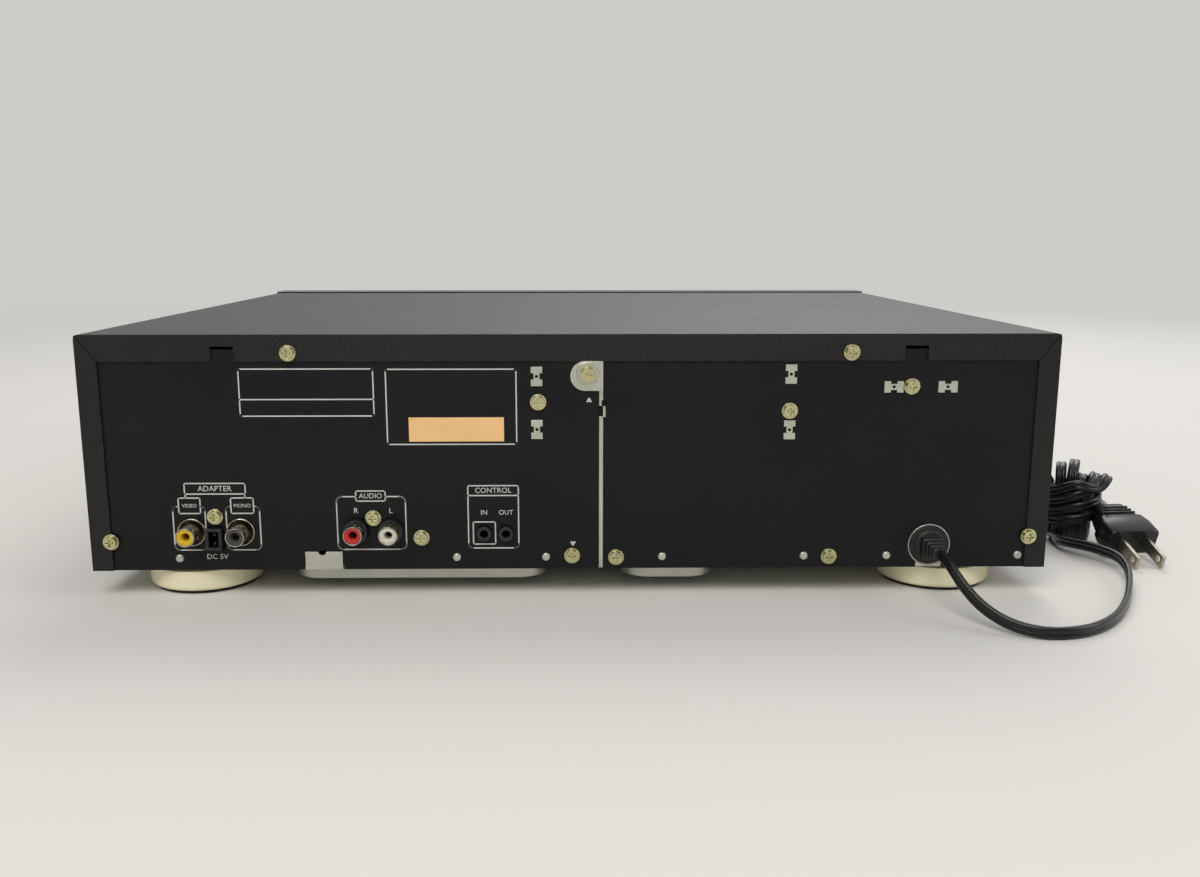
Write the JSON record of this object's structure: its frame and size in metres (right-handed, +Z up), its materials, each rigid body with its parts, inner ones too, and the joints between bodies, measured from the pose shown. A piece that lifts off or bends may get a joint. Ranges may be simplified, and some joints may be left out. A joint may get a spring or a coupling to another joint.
{
  "type": "laserdisc player",
  "caption": "Full-width disc player with a sliding tray, disc drive and clamp inside, rear signal sockets, round feet and a tied mains lead.",
  "frame": {"origin": "on the resting surface, under the middle of the player's box, its lead apart", "axes": "+Z up, the front and its tray face -Y, +X along the width, to the right seen from the front"},
  "size_m": [0.4969, 0.421, 0.1164],
  "materials": {
    "case_paint": "fine-grained satin black paint",
    "rear_paint": "satin black paint on sheet steel",
    "zinc": "zinc-plated sheet",
    "yellow_zinc": "yellow-passivated screws",
    "foot_cream": "satin champagne moulding",
    "pad_felt": "matte pad",
    "front_black": "fine matte moulding",
    "window_smoke": "smoked clear plastic",
    "tube_glass": "display tube",
    "board": "lacquered board",
    "button_black": "moulded key",
    "tray_grey": "fine matte moulding",
    "mechanism_grey": "glass-filled moulding",
    "soft_rubber": "damper rubber",
    "motor_steel": "plated motor case",
    "rail_steel": "ground shaft",
    "carriage_alloy": "die-cast",
    "lens_holder": "dark coated lens and holder",
    "gear_white": "acetal",
    "core_steel": "varnished laminations",
    "coil_tape": "taped winding",
    "capacitor_sleeve": "shrunk sleeve",
    "heat_sink_alloy": "extruded",
    "jack_yellow": "yellow moulding with a plated barrel",
    "jack_grey": "dark moulding with a plated barrel",
    "jack_black": "black moulding",
    "jack_red": "red moulding with a plated barrel",
    "jack_white": "white moulding with a plated barrel",
    "cord_black": "satin black flex",
    "blade_metal": "plated blades"
  },
  "bodies": {
    "cabinet": {"bonnet": "case_paint", "bottom_chassis": "zinc", "feet": "foot_cream", "foot_pads": "pad_felt", "foot_screws": "yellow_zinc", "rear_panel_signal": "rear_paint", "rear_panel_power": "rear_paint", "centre_divider": "zinc", "case_screws": "yellow_zinc", "rear_dowels": "zinc", "board_hook_clips": "zinc", "front_panel": "front_black", "display_window": "window_smoke", "display_tube": "tube_glass", "front_board": "board", "tray_guides": "mechanism_grey", "mechanism_base": "mechanism_grey", "base_dampers": "soft_rubber", "carriage_rails": "rail_steel", "spindle_motor": "motor_steel", "feed_motor": "motor_steel", "loading_motor": "motor_steel", "drive_belt": "soft_rubber", "clamp_bridge": "zinc", "signal_board": "board", "main_board": "board", "power_board": "board", "capacitors": "capacitor_sleeve", "heat_sink": "heat_sink_alloy", "transformer_core": "core_steel", "transformer_coil": "coil_tape", "video_jack": "jack_yellow", "mono_audio_jack": "jack_grey", "dc_out_socket": "jack_black", "audio_jack_block": "jack_black", "audio_jack_left": "jack_white", "audio_jack_right": "jack_red", "control_jacks": "jack_black", "strain_relief": "soft_rubber", "cord_lead": "cord_black", "cord_hank": "cord_black", "plug_body": "cord_black", "plug_blades": "blade_metal"},
    "tray": {"disc_tray": "tray_grey", "tray_front": "front_black"},
    "turntable": {"turntable": "tray_grey"},
    "clamp_arm": {"clamp_arm": "zinc"},
    "clamp_puck": {"clamp_puck": "gear_white"},
    "carriage": {"pickup_carriage": "carriage_alloy"},
    "lens": {"objective_lens": "lens_holder"},
    "feed_pinion": {"feed_pinion": "gear_white"},
    "loading_gear": {"loading_gear": "gear_white"},
    "motor_pulley": {"motor_pulley": "gear_white"},
    "power_button": {"power_button": "button_black"},
    "open_close_button": {"open_close_button": "button_black"},
    "play_button": {"play_button": "button_black"},
    "pause_button": {"pause_button": "button_black"},
    "stop_button": {"stop_button": "button_black"},
    "skip_back_button": {"skip_back_button": "button_black"},
    "skip_forward_button": {"skip_forward_button": "button_black"}
  },
  "joints": [
    {"name": "tray_slide", "type": "slide", "parent": "cabinet", "child": "tray", "axis": [0, -1, 0], "range_m": [0, 0.3]},
    {"name": "loading_gear_spin", "type": "hinge", "parent": "cabinet", "child": "loading_gear", "pos_m": [0.11585, -0.14, 0.076], "axis": [0, 0, 1], "range_deg": [-1150, 5]},
    {"name": "motor_pulley_spin", "type": "hinge", "parent": "cabinet", "child": "motor_pulley", "pos_m": [0.07, -0.14, 0.068], "axis": [0, 0, 1], "range_deg": [-3640, 20]},
    {"name": "turntable_spin", "type": "hinge", "parent": "cabinet", "child": "turntable", "pos_m": [0, -0.02205, 0.082], "axis": [0, 0, 1], "continuous": true},
    {"name": "clamp_lift", "type": "hinge", "parent": "cabinet", "child": "clamp_arm", "pos_m": [0, 0.044, 0.103], "axis": [-1, 0, 0], "range_deg": [0, 4], "stiffness_Nm_per_rad": 0.6},
    {"name": "puck_spin", "type": "hinge", "parent": "clamp_arm", "child": "clamp_puck", "pos_m": [0, -0.02205, 0.09], "axis": [0, 0, 1], "continuous": true},
    {"name": "carriage_slide", "type": "slide", "parent": "cabinet", "child": "carriage", "axis": [0, 1, 0], "range_m": [0, 0.1]},
    {"name": "feed_pinion_spin", "type": "hinge", "parent": "cabinet", "child": "feed_pinion", "pos_m": [0.04215, 0.051, 0.06], "axis": [0, 0, 1], "range_deg": [-580, 5]},
    {"name": "lens_focus", "type": "slide", "parent": "carriage", "child": "lens", "axis": [0, 0, 1], "range_m": [-0.0005, 0.0005], "stiffness_N_per_m": 120},
    {"name": "power_button_press", "type": "slide", "parent": "cabinet", "child": "power_button", "axis": [0, 1, 0], "range_m": [0, 0.003], "stiffness_N_per_m": 260},
    {"name": "open_close_button_press", "type": "slide", "parent": "cabinet", "child": "open_close_button", "axis": [0, 1, 0], "range_m": [0, 0.0012], "stiffness_N_per_m": 260},
    {"name": "play_button_press", "type": "slide", "parent": "cabinet", "child": "play_button", "axis": [0, 1, 0], "range_m": [0, 0.0012], "stiffness_N_per_m": 260},
    {"name": "pause_button_press", "type": "slide", "parent": "cabinet", "child": "pause_button", "axis": [0, 1, 0], "range_m": [0, 0.0012], "stiffness_N_per_m": 260},
    {"name": "stop_button_press", "type": "slide", "parent": "cabinet", "child": "stop_button", "axis": [0, 1, 0], "range_m": [0, 0.0012], "stiffness_N_per_m": 260},
    {"name": "skip_back_button_press", "type": "slide", "parent": "cabinet", "child": "skip_back_button", "axis": [0, 1, 0], "range_m": [0, 0.0012], "stiffness_N_per_m": 260},
    {"name": "skip_forward_button_press", "type": "slide", "parent": "cabinet", "child": "skip_forward_button", "axis": [0, 1, 0], "range_m": [0, 0.0012], "stiffness_N_per_m": 260}
  ],
  "couplings": [
    {"joint": "loading_gear_spin", "follows": "tray_slide", "rad_per_m": -66.667},
    {"joint": "motor_pulley_spin", "follows": "tray_slide", "rad_per_m": -210.67},
    {"joint": "puck_spin", "follows": "turntable_spin", "ratio": 1},
    {"joint": "feed_pinion_spin", "follows": "carriage_slide", "rad_per_m": -100}
  ]
}
